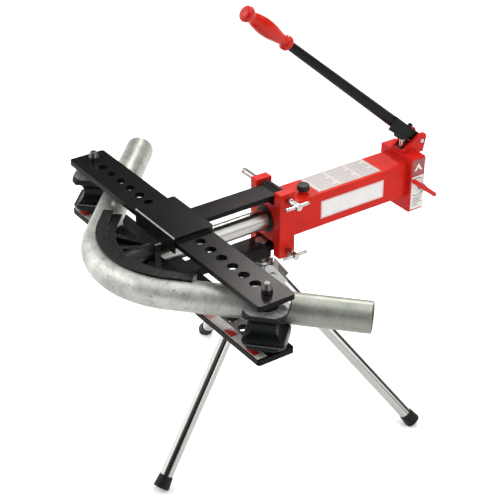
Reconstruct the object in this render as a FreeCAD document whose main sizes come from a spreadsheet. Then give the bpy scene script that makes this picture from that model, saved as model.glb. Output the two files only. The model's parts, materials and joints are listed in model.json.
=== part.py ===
"""Hand-pumped hydraulic tube bender on a folding tripod.

X runs across the machine, -Y towards the bending former, +Z up.  Sub-parts are
drawn from the crossing of the ram axis and the line of pin holes, then carried
so that the origin is on the floor below the middle of the machine.  Millimetres.
"""
import FreeCAD
import Part
import math
import os
import re

VALUES = {
    # where the ram axis and the line of pin holes lie
    "axis_height": 480.5, "line_forward": -222.535,
    # cross plates
    "plate_length": 680, "plate_width": 80, "plate_thick": 11,
    "plate_gap": 104, "hole_first": 92, "hole_pitch": 36, "hole_radius": 11,
    "scale_thick": 0.5, "scale_start": 112, "scale_end": 334, "scale_front": -38,
    "scale_back": -16, "plate_corner": 6,
    # stems and head plates
    "stem_width": 50, "eye_radius": 13, "head_length": 140, "head_front": -43.5,
    "head_back": 45.5, "head_thick": 10, "lip_drop": 24, "lip_thick": 3.2, "head_round": 4,
    # yoke
    "yoke_width": 101.6, "yoke_front": 216, "yoke_back": 253.5, "yoke_half": 72.5,
    "slot_width": 61.6, "slot_floor": 42, "pin_y": 236, "pin_z": 57.5,
    "pin_radius": 7, "pin_bore": 7.08, "gland_radius": 28.5, "gland_depth": 12,
    "gland_proud": 2.5,
    # housing and pump block
    "body_width": 75, "body_height": 77, "body_wall": 5, "body_back": 556,
    "barrel_radius": 31, "barrel_bore": 24, "block_width": 99.5, "block_back": 595,
    "block_top": 52.9, "block_bottom": -72.3, "label_thick": 0.5,
    # ram
    "ram_radius": 21, "ram_bore": 21.08, "ram_nose": -78, "ram_tail": 292,
    "piston_radius": 23.92, "piston_length": 26,
    # tube and former
    "bend_radius": 185.7, "bend_centre": 40.2, "bend_half_angle": 43.3,
    "tube_radius": 30.15, "tube_wall": 3.65, "arm_length": 380, "former_half": 35,
    "former_straight": 46, "former_rim": 22, "ledge_rim": 38, "ledge_half": 27,
    "groove_radius": 30.25, "web_half": 9, "socket_radius": 28, "socket_front": -112,
    "socket_back": -50,
    # followers and their pins
    "follower_half": 40, "follower_height": 72, "follower_corner": 51,
    "follower_boss": 22, "follower_bore": 10.4, "post_radius": 10.3, "post_top": 84,
    "post_bottom": -78, "follower_groove": 30.45,
    # pump lever
    "pivot_y": 610, "pivot_z": 70, "pivot_radius": 5, "pivot_bore": 5.08,
    "lever_root_y": 566.7, "lever_root_z": 104.65, "lever_angle": 40.8,
    "lever_length": 403, "grip_stretch": 0.92, "plunger_y": 570, "plunger_radius": 5.5,
    "plunger_bore": 5.58, "plunger_top": 83.2, "plunger_bottom": 10,
    # release valve and filler
    "valve_y": 586.5, "valve_z": -17, "valve_radius": 4, "valve_bore": 4.08,
    "valve_x": 62, "valve_bar": 82, "valve_bar_radius": 5, "valve_head": 7.5,
    "filler_x": 13, "filler_y": 301, "filler_rise": 7,
    # tripod
    "hub_y": 208, "hub_radius": 19, "boss_radius": 10.5, "block_drop": 14,
    "block_front": 160, "block_rear": 214, "hub_under": -97, "leg_pivot_ring": 26, "leg_pivot_z": -122,
    "foot_ring": 336.6, "leg_radius": 13, "leg_turn": 17.6, "leg_pin_radius": 4.5,
    "foot_length": 27,
}
LABELS = ("a", "b", "c")

doc = FreeCAD.newDocument("TubeBender")
sheet = doc.addObject("Spreadsheet::Sheet", "Dims")
for row, (alias, number) in enumerate(VALUES.items(), start=1):
    sheet.set("A%d" % row, alias)
    sheet.set("B%d" % row, str(number))
    sheet.setAlias("B%d" % row, alias)
doc.recompute()

V = FreeCAD.Vector
TURN = {
    "X": FreeCAD.Rotation(V(0, 1, 0), 90),
    "Y": FreeCAD.Rotation(V(1, 0, 0), -90),
    "Z": FreeCAD.Rotation(),
}
nodes = {}


def bind(obj, prop, text):
    """Bind one property to the sheet."""
    named = re.sub(r"[a-z_]+", lambda m: "Dims." + m.group(0), str(text))
    obj.setExpression(prop, named)


def put(obj, x, y, z, turn=None):
    """Place an object at sheet positions."""
    obj.Placement = FreeCAD.Placement(V(0, 0, 0), turn or FreeCAD.Rotation())
    bind(obj, "Placement.Base.x", x)
    bind(obj, "Placement.Base.y", y)
    bind(obj, "Placement.Base.z", z)
    return obj


def box(x, y, z):
    """Block between (low, high) pairs."""
    obj = doc.addObject("Part::Box", "Block")
    bind(obj, "Length", "(%s)-(%s)" % (x[1], x[0]))
    bind(obj, "Width", "(%s)-(%s)" % (y[1], y[0]))
    bind(obj, "Height", "(%s)-(%s)" % (z[1], z[0]))
    return put(obj, x[0], y[0], z[0])


def rod(axis, centre, low, high, radius, radius_end=None):
    """Cylinder or cone along an axis, between low and high on it."""
    kind = "Part::Cylinder" if radius_end is None else "Part::Cone"
    obj = doc.addObject(kind, "Rod")
    if radius_end is None:
        bind(obj, "Radius", radius)
    else:
        bind(obj, "Radius1", radius)
        bind(obj, "Radius2", radius_end)
    bind(obj, "Height", "(%s)-(%s)" % (high, low))
    first, second = centre
    spot = {"X": (low, first, second), "Y": (first, low, second), "Z": (first, second, low)}
    return put(obj, *spot[axis], turn=TURN[axis])


def fuse(*items):
    """Union of solids."""
    obj = doc.addObject("Part::MultiFuse", "Joined")
    obj.Shapes = list(items)
    obj.Refine = True
    return obj


def cut(base, *tools):
    """First solid less all the others."""
    obj = doc.addObject("Part::Cut", "Trimmed")
    obj.Base = base
    obj.Tool = tools[0] if len(tools) == 1 else fuse(*tools)
    return obj


def common(*items):
    """Space that all the solids share."""
    obj = doc.addObject("Part::MultiCommon", "Shared")
    obj.Shapes = list(items)
    return obj


def outline(points, plane, low, high):
    """Prism of a closed outline; plane YZ runs along X, plane XY along Z."""
    sketch = doc.addObject("Sketcher::SketchObject", "Outline")
    if plane == "YZ":
        sketch.Placement = FreeCAD.Placement(V(low, 0, 0), FreeCAD.Rotation(V(1, 1, 1), 120))
        way = V(1, 0, 0)
    else:
        sketch.Placement = FreeCAD.Placement(V(0, 0, low), FreeCAD.Rotation())
        way = V(0, 0, 1)
    for start, end in zip(points, points[1:] + points[:1]):
        sketch.addGeometry(Part.LineSegment(V(start[0], start[1], 0), V(end[0], end[1], 0)))
    solid = doc.addObject("Part::Extrusion", "Prism")
    solid.Base = sketch
    solid.DirMode = "Custom"
    solid.Dir = way
    solid.LengthFwd = high - low
    solid.Solid = True
    return solid


def turned(points):
    """Solid of revolution about Z from (radius, height) points."""
    sketch = doc.addObject("Sketcher::SketchObject", "Half")
    sketch.Placement = FreeCAD.Placement(V(0, 0, 0), FreeCAD.Rotation(V(1, 0, 0), 90))
    for start, end in zip(points, points[1:] + points[:1]):
        sketch.addGeometry(Part.LineSegment(V(start[0], start[1], 0), V(end[0], end[1], 0)))
    solid = doc.addObject("Part::Revolution", "Turned")
    solid.Source = sketch
    solid.Axis = V(0, 0, 1)
    solid.Base = V(0, 0, 0)
    solid.Angle = 360
    solid.Solid = True
    return solid


def soften(obj, size, pick):
    """Round the straight edges that pick accepts by middle point and run."""
    doc.recompute()
    edges = []
    for number, edge in enumerate(obj.Shape.Edges, start=1):
        middle = edge.valueAt((edge.FirstParameter + edge.LastParameter) / 2)
        ends = [vertex.Point for vertex in edge.Vertexes]
        if len(ends) == 2 and pick(middle, ends[1] - ends[0]):
            edges.append((number, size, size))
    rounded = doc.addObject("Part::Fillet", "Softened")
    rounded.Base = obj
    rounded.Edges = edges
    return rounded


def moved(obj, placement):
    """Copy of an object carried to a placement."""
    carrier = doc.addObject("Part::Compound", "Carried")
    carrier.Links = [obj]
    carrier.Placement = placement
    return carrier


def node(name, *items):
    """Finished sub-part, carried to the machine's own frame."""
    part = doc.addObject("Part::Compound", "Node")
    part.Label = name
    part.Links = list(items)
    bind(part, "Placement.Base.y", "line_forward")
    bind(part, "Placement.Base.z", "axis_height")
    nodes[name] = part


def upright(middle, run):
    """Whether an edge runs along Z."""
    return abs(run.z) > 0.99 * run.Length


def along_y(middle, run):
    """Whether an edge runs along Y."""
    return abs(run.y) > 0.99 * run.Length


# ---- cross plates, stems and head plates ----------------------------------
hole_offsets = [VALUES["hole_first"] + VALUES["hole_pitch"] * step for step in range(7)]


def frame_side(side):
    """Cross plate, stem with hinge eye and head plate; side is +1 upper, -1 lower."""
    inner = "plate_gap/2"
    outer = "plate_gap/2+plate_thick"
    level = (inner, outer) if side > 0 else ("-(plate_gap/2+plate_thick)", "-(plate_gap/2)")
    plate = box(("-plate_length/2", "plate_length/2"), ("-plate_width/2", "plate_width/2"), level)
    drills = [rod("Z", (sign * x, "0"), level[0] + "-1", level[1] + "+1", "hole_radius")
              for x in hole_offsets for sign in (-1, 1)]
    cross = soften(cut(plate, *drills), VALUES["plate_corner"], upright)
    centre_z = "pin_z" if side > 0 else "-pin_z"
    bar = box(("-stem_width/2", "stem_width/2"), ("plate_width/2", "pin_y"), level)
    eye = rod("X", ("pin_y", centre_z), "-stem_width/2", "stem_width/2", "eye_radius")
    bore = rod("X", ("pin_y", centre_z), "-stem_width", "stem_width", "pin_bore")
    stem = cut(fuse(bar, eye), bore)
    if side > 0:
        slab_level = (outer, outer + "+head_thick")
        lip_level = (outer + "-lip_drop", outer + "+head_thick")
    else:
        slab_level = ("-(plate_gap/2+plate_thick+head_thick)", "-(plate_gap/2+plate_thick)")
        lip_level = ("-(plate_gap/2+plate_thick+head_thick)", "-(plate_gap/2+plate_thick-lip_drop)")
    slab = box(("-head_length/2", "head_length/2"), ("head_front", "head_back"), slab_level)
    lip = box(("-head_length/2", "head_length/2"), ("head_front", "head_front+lip_thick"), lip_level)
    head = soften(fuse(slab, lip), 5, lambda mid, run: upright(mid, run) and mid.y > 0)
    front = VALUES["head_front"]
    outside = VALUES["plate_gap"] / 2 + VALUES["plate_thick"] + VALUES["head_thick"]
    head = soften(head, VALUES["head_round"],
                  lambda mid, run: abs(mid.y - front) < 0.1 and abs(abs(mid.z) - outside) < 0.1)
    return cross, stem, head


upper_cross, upper_stem, upper_head = frame_side(1)
node("upper_cross_plate", upper_cross)
node("upper_stem", upper_stem)
node("upper_head_plate", upper_head)
lower_cross, lower_stem, lower_head = frame_side(-1)
hub_hole = rod("Z", ("0", "hub_y"), "-80", "-40", "6.1")
node("lower_cross_plate", lower_cross)
node("lower_stem", cut(lower_stem, hub_hole))
stem_under = "-(plate_gap/2+plate_thick)"
mount_block = box(("-stem_width/2", "stem_width/2"), ("block_front", "block_rear"),
                  (stem_under + "-block_drop", stem_under))
node("tripod_mount_block", cut(mount_block, rod("Z", ("0", "hub_y"), "-90", "-40", "6.1")))
node("lower_head_plate", lower_head)


def scale_strip(sign):
    """Printed hole-position strip on the lower plate."""
    ends = ("scale_start", "scale_end") if sign > 0 else ("-scale_end", "-scale_start")
    return box(ends, ("scale_front", "scale_back"), ("-plate_gap/2", "-plate_gap/2+scale_thick"))


node("scale_strips", scale_strip(1), scale_strip(-1))

# ---- yoke, housing, cylinder ------------------------------------------------
yoke_body = box(("-yoke_width/2", "yoke_width/2"), ("yoke_front", "yoke_back"), ("-yoke_half", "yoke_half"))
yoke_body = soften(yoke_body, 1.2, lambda mid, run: True)
slot_x, slot_y = ("-slot_width/2", "slot_width/2"), ("yoke_front-5", "yoke_back+5")
yoke_slots = [
    box(slot_x, slot_y, ("slot_floor", "yoke_half+5")),
    box(slot_x, slot_y, ("-yoke_half-5", "-slot_floor")),
]
yoke_bores = [
    rod("Y", ("0", "0"), "yoke_front-5", "yoke_back+5", "ram_bore+0.6"),
    rod("Y", ("0", "0"), "yoke_front-5", "yoke_front+gland_depth", "gland_radius"),
    rod("X", ("pin_y", "pin_z"), "-yoke_width", "yoke_width", "pin_bore"),
    rod("X", ("pin_y", "-pin_z"), "-yoke_width", "yoke_width", "pin_bore"),
]
node("front_yoke", cut(yoke_body, *yoke_slots, *yoke_bores))

gland = rod("Y", ("0", "0"), "yoke_front-gland_proud", "yoke_front+gland_depth", "gland_radius")
gland_bore = rod("Y", ("0", "0"), "yoke_front-8", "yoke_front+20", "ram_bore")
wiper_seat = rod("Y", ("0", "0"), "yoke_front-8", "yoke_front+1", "24.5")
node("gland_ring", cut(gland, gland_bore, wiper_seat))
wiper = rod("Y", ("0", "0"), "yoke_front-gland_proud-0.8", "yoke_front+0.95", "24.45")
node("ram_wiper", cut(wiper, rod("Y", ("0", "0"), "yoke_front-8", "yoke_front+20", "ram_bore")))

shell = box(("-body_width/2", "body_width/2"), ("yoke_back", "body_back"),
            ("-body_height/2", "body_height/2"))
shell = soften(shell, 2.5, along_y)
cavity = box(("-body_width/2+body_wall", "body_width/2-body_wall"), ("yoke_back-5", "body_back+5"),
             ("-body_height/2+body_wall", "body_height/2-body_wall"))
fill_hole = rod("Z", ("filler_x", "filler_y"), "20", "60", "6")
node("housing_shell", cut(shell, cavity, fill_hole))

barrel = rod("Y", ("0", "0"), "yoke_back", "body_back", "barrel_radius")
barrel_hole = rod("Y", ("0", "0"), "yoke_back-5", "body_back+5", "barrel_bore")
node("cylinder_barrel", cut(barrel, barrel_hole))

boss = rod("Z", ("filler_x", "filler_y"), "body_height/2", "body_height/2+filler_rise", "9.5")
node("filler_boss", cut(boss, rod("Z", ("filler_x", "filler_y"), "20", "60", "6")))

# ---- pump block, bracket and valve parts ------------------------------------
block = box(("-block_width/2", "block_width/2"), ("body_back", "block_back"), ("block_bottom", "block_top"))
block = soften(block, 1.2, lambda mid, run: True)
plunger_well = rod("Z", ("0", "plunger_y"), "-12", "block_top+5", "plunger_bore")
sleeve_seat = rod("Z", ("0", "plunger_y"), "36", "block_top+5", "9")
valve_well = rod("X", ("valve_y", "valve_z"), "14", "block_width", "valve_bore")
ball_seat = rod("Z", ("0", "plunger_y"), "-34", "-11", "4.6")
node("pump_block", cut(block, plunger_well, sleeve_seat, valve_well, ball_seat))

sleeve = rod("Z", ("0", "plunger_y"), "36", "block_top+6.6", "9")
node("plunger_sleeve", cut(sleeve, rod("Z", ("0", "plunger_y"), "30", "70", "plunger_bore")))

cheek_outline = [(559, 52.9), (559, 60), (597, 85.5), (604, 88.2), (613, 88.2), (618.5, 85), (620, 79),
                 (612.5, 46), (595.5, 46), (595.5, 52.9)]


def cheek(low, high):
    """Triangular ear with the pivot hole, recessed on its outer face."""
    plate = outline(cheek_outline, "YZ", low, high)
    hole = rod("X", ("pivot_y", "pivot_z"), "-30", "30", "pivot_bore")
    recess = ("18", "30") if low > 0 else ("-30", "-18")
    return cut(plate, hole, rod("X", ("pivot_y", "pivot_z"), recess[0], recess[1], "7"))


base_plate = box(("-14", "14"), ("559", "602"), ("block_top", "block_top+6.5"))
base_plate = cut(base_plate, rod("Z", ("0", "plunger_y"), "40", "80", "10.2"))
node("pump_bracket_floor", base_plate)
node("pump_ear_right", cheek(14, 20.5))
node("pump_ear_left", cheek(-20.5, -14))
node("lever_pivot_pin", rod("X", ("pivot_y", "pivot_z"), "-20", "20", "pivot_radius"))

ball = doc.addObject("Part::Sphere", "Ball")
ball.Radius = 3.6
put(ball, "0", "plunger_y", "-29.8")
node("check_valve_ball", ball)
coil_core = rod("Z", ("0", "plunger_y"), "-26", "-14", "3.4")
coil_hole = rod("Z", ("0", "plunger_y"), "-27", "-13", "2.2")
node("check_valve_spring", cut(coil_core, coil_hole))

screws = []
for x in (-38, 38):
    for z in (-60, 40):
        head = rod("Y", (x, z), "block_back", "block_back+6", "6")
        socket = rod("Y", (x, z), "block_back+2.5", "block_back+8", "2.9")
        screws.append(cut(head, socket))
node("block_screws", *screws)

# ---- labels -----------------------------------------------------------------
node("label_plate_top", box(("-35", "30"), ("328", "491"), ("body_height/2", "body_height/2+label_thick")))
node("label_plate_side", box(("body_width/2", "body_width/2+label_thick"), ("329", "493"), ("-20", "20")))
node("badge_plate", box(("block_width/2", "block_width/2+label_thick"), ("560.5", "593"), ("13", "49")))
valve_plate = box(("block_width/2", "block_width/2+label_thick"), ("560.5", "593"), ("-68", "10"))
node("valve_label_plate", cut(valve_plate, rod("X", ("valve_y", "valve_z"), "40", "60", "7.2")))

# ---- ram, piston, former and tube -------------------------------------------
node("ram_rod", rod("Y", ("0", "0"), "ram_nose", "ram_tail", "ram_radius"))
node("ram_piston", rod("Y", ("0", "0"), "ram_tail", "ram_tail+piston_length", "piston_radius"))

R, centre_y = VALUES["bend_radius"], VALUES["bend_centre"]
half_angle = VALUES["bend_half_angle"]
arc_sin, arc_cos = math.sin(math.radians(half_angle)), math.cos(math.radians(half_angle))
arc_end = (R * arc_sin, centre_y - R * arc_cos)


def band(radius, straight, steps=24):
    """Right end to left end of a curve offset from the bend's centre line."""
    end = (radius * arc_sin + straight * arc_cos, centre_y - radius * arc_cos + straight * arc_sin)
    arc = []
    for step in range(steps + 1):
        angle = math.radians(-90 + half_angle - 2 * half_angle * step / steps)
        arc.append((radius * math.cos(angle), centre_y + radius * math.sin(angle)))
    return [end] + arc + [(-end[0], end[1])]


def bend(tube_r):
    """Part of a torus that follows the bend's centre line."""
    torus = doc.addObject("Part::Torus", "Bend")
    bind(torus, "Radius1", "bend_radius")
    torus.Radius2 = tube_r
    bind(torus, "Angle3", "2*bend_half_angle")
    torus.Placement = FreeCAD.Placement(V(0, centre_y, 0), FreeCAD.Rotation(V(0, 0, 1), -90 - half_angle))
    return torus


def arm(sign, radius, length):
    """Straight rod from one end of the bend, along its tangent."""
    bar = doc.addObject("Part::Cylinder", "Arm")
    bar.Radius = radius
    bar.Height = length
    way = V(sign * arc_cos, arc_sin, 0)
    spot = V(sign * arc_end[0], arc_end[1], 0)
    bar.Placement = FreeCAD.Placement(spot, FreeCAD.Rotation(V(0, 0, 1), way))
    return bar


rim_r = R - VALUES["former_rim"]
ledge_r = R - VALUES["ledge_rim"]
skirt = VALUES["former_straight"]
depth = VALUES["former_half"]
outer_line = band(R, skirt)
rim = outline(outer_line + band(rim_r, skirt)[::-1], "XY", -depth, depth)
ledge = outline(band(rim_r + 4, skirt) + band(ledge_r, skirt)[::-1], "XY", -VALUES["ledge_half"],
                VALUES["ledge_half"])
web_line = band(ledge_r + 4, skirt - 6)
web = outline(web_line, "XY", -VALUES["web_half"], VALUES["web_half"])
socket = rod("Y", ("0", "0"), "socket_front", "socket_back", "socket_radius")
ribs = []
for angle in (-150, -118, -62, -30):
    rib = doc.addObject("Part::Box", "Rib")
    rib.Length = 112
    rib.Width = 11
    rib.Height = 44
    swing = FreeCAD.Placement(V(0, -38, -22), FreeCAD.Rotation(V(0, 0, 1), angle))
    rib.Placement = swing.multiply(FreeCAD.Placement(V(0, -5.5, 0), FreeCAD.Rotation()))
    ribs.append(rib)
inside = outline(band(ledge_r + 2, skirt - 6), "XY", -30, 30)
ribs = common(fuse(*ribs), inside)
nose_bore = rod("Y", ("0", "0"), "ram_nose-0.2", "socket_back+10", "ram_radius+0.05")
groove = fuse(bend(VALUES["groove_radius"]), arm(1, VALUES["groove_radius"], 80),
              arm(-1, VALUES["groove_radius"], 80))
body = cut(fuse(rim, ledge, web, socket, ribs), groove, nose_bore)
node("bending_former", body)

tube_r = VALUES["tube_radius"]
hollow_r = tube_r - VALUES["tube_wall"]
length = VALUES["arm_length"]
tube_skin = fuse(bend(tube_r), arm(1, tube_r, length), arm(-1, tube_r, length))
tube_core = fuse(bend(hollow_r), arm(1, hollow_r, length + 1), arm(-1, hollow_r, length + 1))
node("workpiece_tube", cut(tube_skin, tube_core))

# ---- followers and their pins -------------------------------------------------
pin_x = VALUES["hole_first"] + 6 * VALUES["hole_pitch"]
tube_reach = pin_x * arc_sin + centre_y * arc_cos - R
groove_sizes = [(VALUES["follower_groove"], tube_reach), (21.3, 46), (28.5, 47.5), (24.4, 45)]


def follower(sign):
    """Four-sided swivel block on the outermost pin; its largest groove holds the tube."""
    raised = "follower_height/2"
    cube = box(("-follower_half", "follower_half"), ("-follower_half", "follower_half"),
               ("-" + raised, raised))
    half, corner = VALUES["follower_height"] / 2, VALUES["follower_corner"]
    drum = turned([(0, -half), (corner - 6, -half), (corner - 2, -half + 2.5), (corner, -half + 8),
                   (corner, half - 8), (corner - 2, half - 2.5), (corner - 6, half), (0, half)])
    blank = common(cube, drum)
    grooves = []
    for quarter, (radius, reach) in enumerate(groove_sizes):
        spot = rod("X", ("0", "0"), "-60", "60", str(radius))
        turn = FreeCAD.Rotation(V(0, 0, 1), 90 * quarter)
        spot.Placement = FreeCAD.Placement(turn.multVec(V(-60, reach, 0)), turn.multiply(TURN["X"]))
        spot.setExpression("Placement.Base.x", None)
        spot.setExpression("Placement.Base.y", None)
        grooves.append(spot)
    bosses = [rod("Z", ("0", "0"), raised, "plate_gap/2-0.4", "follower_boss"),
              rod("Z", ("0", "0"), "-(plate_gap/2-0.9)", "-" + raised, "follower_boss")]
    shaft = rod("Z", ("0", "0"), "-80", "80", "follower_bore")
    block = cut(fuse(cut(blank, *grooves), *bosses), shaft)
    turn = FreeCAD.Rotation(V(0, 0, 1), half_angle * sign)
    return moved(block, FreeCAD.Placement(V(sign * pin_x, 0, 0), turn))


def post(sign):
    """Round pin with a tapered nose that the upper plate drops over."""
    radius, top, bottom = VALUES["post_radius"], VALUES["post_top"], VALUES["post_bottom"]
    profile = [(0, bottom), (radius - 1.5, bottom), (radius, bottom + 1.5), (radius, top - 11),
               (radius - 3.6, top - 1), (radius - 4.8, top), (0, top)]
    return moved(turned(profile), FreeCAD.Placement(V(sign * pin_x, 0, 0), FreeCAD.Rotation()))


for name, sign in (("right", 1), ("left", -1)):
    node("follower_" + name, follower(sign))
    node("follower_pin_" + name, post(sign))

# ---- hinge pins with tommy bars ------------------------------------------------
for name, level, reach, bar in (("upper", "pin_z", 81, 3.5), ("lower", "-pin_z", 76, 3.8)):
    shaft = rod("X", ("pin_y", level), "-104", str(reach + 8), "pin_radius")
    hole = rod("Y", (str(reach), level), "pin_y-20", "pin_y+20", str(bar + 0.05))
    node(name + "_hinge_pin", cut(shaft, hole))
    node(name + "_tommy_bar", rod("Y", (str(reach), level), "pin_y-28.5", "pin_y+28.5", str(bar)))

# ---- pump lever ----------------------------------------------------------------
root = V(0, VALUES["lever_root_y"], VALUES["lever_root_z"])
tilt = math.radians(VALUES["lever_angle"])
lever_way = V(0, -math.cos(tilt), math.sin(tilt))
lever_turn = FreeCAD.Rotation(V(0, 0, 1), lever_way)


def on_lever(profile):
    """Turned solid on the lever's line, heights counted from the lever's root."""
    return moved(turned(profile), FreeCAD.Placement(root, lever_turn))


grip_foot = VALUES["lever_length"]
node("lever_bar", on_lever([(0, 14), (8, 14), (8, 44.1), (12.2, 44.1), (9.4, grip_foot - 3),
                            (9.4, grip_foot + 78), (0, grip_foot + 78)]))
stretch = VALUES["grip_stretch"]
grip_outer = [(10.4, 0), (14.6, 3), (15.3, 8), (14.4, 13), (11.2, 17), (10.9, 22), (12.8, 34), (15.8, 54),
              (17.1, 72), (16.6, 92), (14.4, 108), (12.4, 118), (12.2, 124), (14.2, 130), (16.2, 135),
              (16.0, 140), (12.5, 144.5), (6, 146.5), (0, 147)]
inner_top = grip_foot + 82
grip_points = [(9.5, grip_foot - 2.5)] + [(r, grip_foot - 2.5 + s * stretch) for r, s in grip_outer]
grip_points += [(0, inner_top), (9.5, inner_top)]
node("lever_grip", on_lever(grip_points))

casting_line = [(610, 59.4), (618, 62.6), (621, 70), (618.5, 77), (612, 81.5), (601, 91), (589, 100.5),
                (560, 125.7), (541, 142.2), (526, 124.9), (545, 108.4), (540.5, 103), (545.5, 98.5),
                (552, 95.5), (557, 90), (557, 84), (588, 84), (593, 79), (599, 72), (602, 62.6)]
casting = outline(casting_line, "YZ", -12.6, 12.6)
casting_bore = rod("X", ("pivot_y", "pivot_z"), "-30", "30", "pivot_bore")
bar_seat = on_lever([(0, 13.9), (8.05, 13.9), (8.05, 60), (0, 60)])
node("lever_socket", cut(casting, casting_bore, bar_seat))

screw_turn = FreeCAD.Rotation(V(0, 0, 1), V(0, math.sin(tilt), math.cos(tilt)))
screw = turned([(0, -0.5), (5.2, -0.5), (5.2, 5), (3.8, 7), (0, 7.5)])
screw_spot = root + lever_way * -18 + V(0, math.sin(tilt), math.cos(tilt)) * 12.6
node("lever_clamp_screw", moved(screw, FreeCAD.Placement(screw_spot, screw_turn)))

plunger = fuse(rod("Z", ("0", "plunger_y"), "plunger_bottom", "plunger_top-3", "plunger_radius"),
               rod("Z", ("0", "plunger_y"), "plunger_top-3", "plunger_top", "plunger_radius", "2.5"))
node("pump_plunger", plunger)

# ---- release valve and filler cap -----------------------------------------------
valve_spot = V(VALUES["valve_x"], VALUES["valve_y"], VALUES["valve_z"])
bar_turn = FreeCAD.Placement(valve_spot, FreeCAD.Rotation(V(0, 0, 1), V(0, 0.774, -0.633)))
stem = fuse(rod("X", ("valve_y", "valve_z"), "22", "valve_x-6", "valve_radius"),
            rod("X", ("valve_y", "valve_z"), "valve_x-7", "valve_x", "valve_head"))
bar_hole = moved(rod("Z", ("0", "0"), "-20", "20", "valve_bar_radius+0.05"), bar_turn)
node("release_valve_stem", cut(stem, bar_hole))
collar = cut(rod("X", ("valve_y", "valve_z"), "block_width/2+0.3", "block_width/2+4.8", "6.6"),
             rod("X", ("valve_y", "valve_z"), "40", "70", "valve_radius+0.05"))
node("release_valve_collar", collar)
handle = rod("Z", ("0", "0"), "-valve_bar/2", "valve_bar/2", "valve_bar_radius")
node("release_valve_bar", moved(handle, bar_turn))

cap_base = VALUES["body_height"] / 2 + VALUES["filler_rise"] + 0.3
cap = turned([(0, cap_base), (12.4, cap_base), (13, cap_base + 1), (13, cap_base + 9.5),
              (11.8, cap_base + 11), (0, cap_base + 11.3)])
flutes = []
for step in range(24):
    angle = math.radians(15 * step)
    notch = doc.addObject("Part::Cylinder", "Flute")
    notch.Radius = 0.9
    notch.Height = 14
    notch.Placement = FreeCAD.Placement(V(13.2 * math.cos(angle), 13.2 * math.sin(angle), cap_base - 1),
                                        FreeCAD.Rotation())
    flutes.append(notch)
cap = moved(cut(cap, *flutes), FreeCAD.Placement(V(VALUES["filler_x"], VALUES["filler_y"], 0),
                                                 FreeCAD.Rotation()))
stub = rod("Z", ("filler_x", "filler_y"), "body_height/2+1", "body_height/2+filler_rise+0.3", "5.9")
node("filler_cap", fuse(cap, stub))

# ---- tripod ----------------------------------------------------------------------
hub_spot = ("0", "hub_y")
hub = fuse(rod("Z", hub_spot, "hub_under+5", stem_under + "-block_drop", "boss_radius"),
           rod("Z", hub_spot, "hub_under", "hub_under+5", "hub_radius"))
node("tripod_hub", cut(hub, rod("Z", hub_spot, "hub_under-5", "-40", "6.1")))
bolt = fuse(rod("Z", hub_spot, "hub_under-9", "-plate_gap/2", "6"),
            rod("Z", hub_spot, "-plate_gap/2", "-plate_gap/2+5", "13"),
            rod("Z", hub_spot, "hub_under-8", "hub_under", "8"))
node("hub_bolt", bolt)

ring, foot_ring = VALUES["leg_pivot_ring"], VALUES["foot_ring"]
drop = VALUES["axis_height"] + VALUES["leg_pivot_z"]
lean = math.atan2(foot_ring - ring, drop)
leg_r, pin_r = VALUES["leg_radius"], VALUES["leg_pin_radius"]
foot_end = (drop - 5) / math.cos(lean)
tube_length = foot_end - 7


def leg_tube_shape():
    """Leg along -Z from its pivot at the origin, pivot axis along Y."""
    tube = rod("Z", ("0", "0"), str(-tube_length), "0", "leg_radius")
    top = doc.addObject("Part::Sphere", "Top")
    top.Radius = leg_r
    hollow = rod("Z", ("0", "0"), str(-tube_length - 5), "-20", "leg_radius-1.6")
    hole = rod("Y", ("0", "0"), "-20", "20", "leg_pin_radius+0.08")
    return cut(fuse(tube, top), hollow, hole)


def foot_shape():
    """Flared rubber cup pushed over the end of a leg."""
    seat, mouth = 0.2 - foot_end + 6.6, VALUES["foot_length"] - foot_end
    return turned([(0, -foot_end), (15.7, -foot_end), (16.6, 1.2 - foot_end), (15.9, 9 - foot_end),
                   (14.8, mouth - 1), (14.2, mouth), (leg_r + 0.1, mouth), (leg_r + 0.1, seat), (0, seat)])


leg_pins = []
for name, turn_deg in zip(LABELS, (270, 30, 150)):
    azimuth = turn_deg + VALUES["leg_turn"]
    heading = FreeCAD.Rotation(V(0, 0, 1), azimuth)
    reach = heading.multVec(V(ring, 0, 0))
    spot = V(reach.x, reach.y + VALUES["hub_y"], VALUES["leg_pivot_z"])
    stance = heading.multiply(FreeCAD.Rotation(V(0, 1, 0), -math.degrees(lean)))
    node("leg_tube_" + name, moved(leg_tube_shape(), FreeCAD.Placement(spot, stance)))
    shoe = moved(foot_shape(), FreeCAD.Placement(spot, stance))
    ground = box(("-900", "900"), ("-900", "900"), ("-axis_height-60", "-axis_height"))
    node("leg_foot_" + name, cut(shoe, ground))
    walls = [box(("-13", "16"), side, ("-27", "26")) for side in (("13.3", "15.8"), ("-15.8", "-13.3"))]
    web = box(("13.5", "16"), ("-13.3", "13.3"), ("5", "26"))
    drill = rod("Y", ("0", "0"), "-30", "30", "leg_pin_radius+0.05")
    channel = moved(cut(fuse(*walls, web), drill), FreeCAD.Placement(spot, stance))
    third = outline([(0.1, 0), (90, 155.7), (90, -155.7)], "XY", -200, VALUES["hub_under"])
    hub_place = FreeCAD.Placement(V(0, VALUES["hub_y"], 0), heading)
    node("leg_bracket_" + name, common(channel, moved(third, hub_place)))
    shank = fuse(rod("Y", ("0", "0"), "-18", "18", "leg_pin_radius"),
                 rod("Y", ("0", "0"), "15.9", "18.6", "7"),
                 rod("Y", ("0", "0"), "-18.6", "-15.9", "7"))
    leg_pins.append(moved(shank, FreeCAD.Placement(spot, heading)))
node("leg_pins", *leg_pins)

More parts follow.
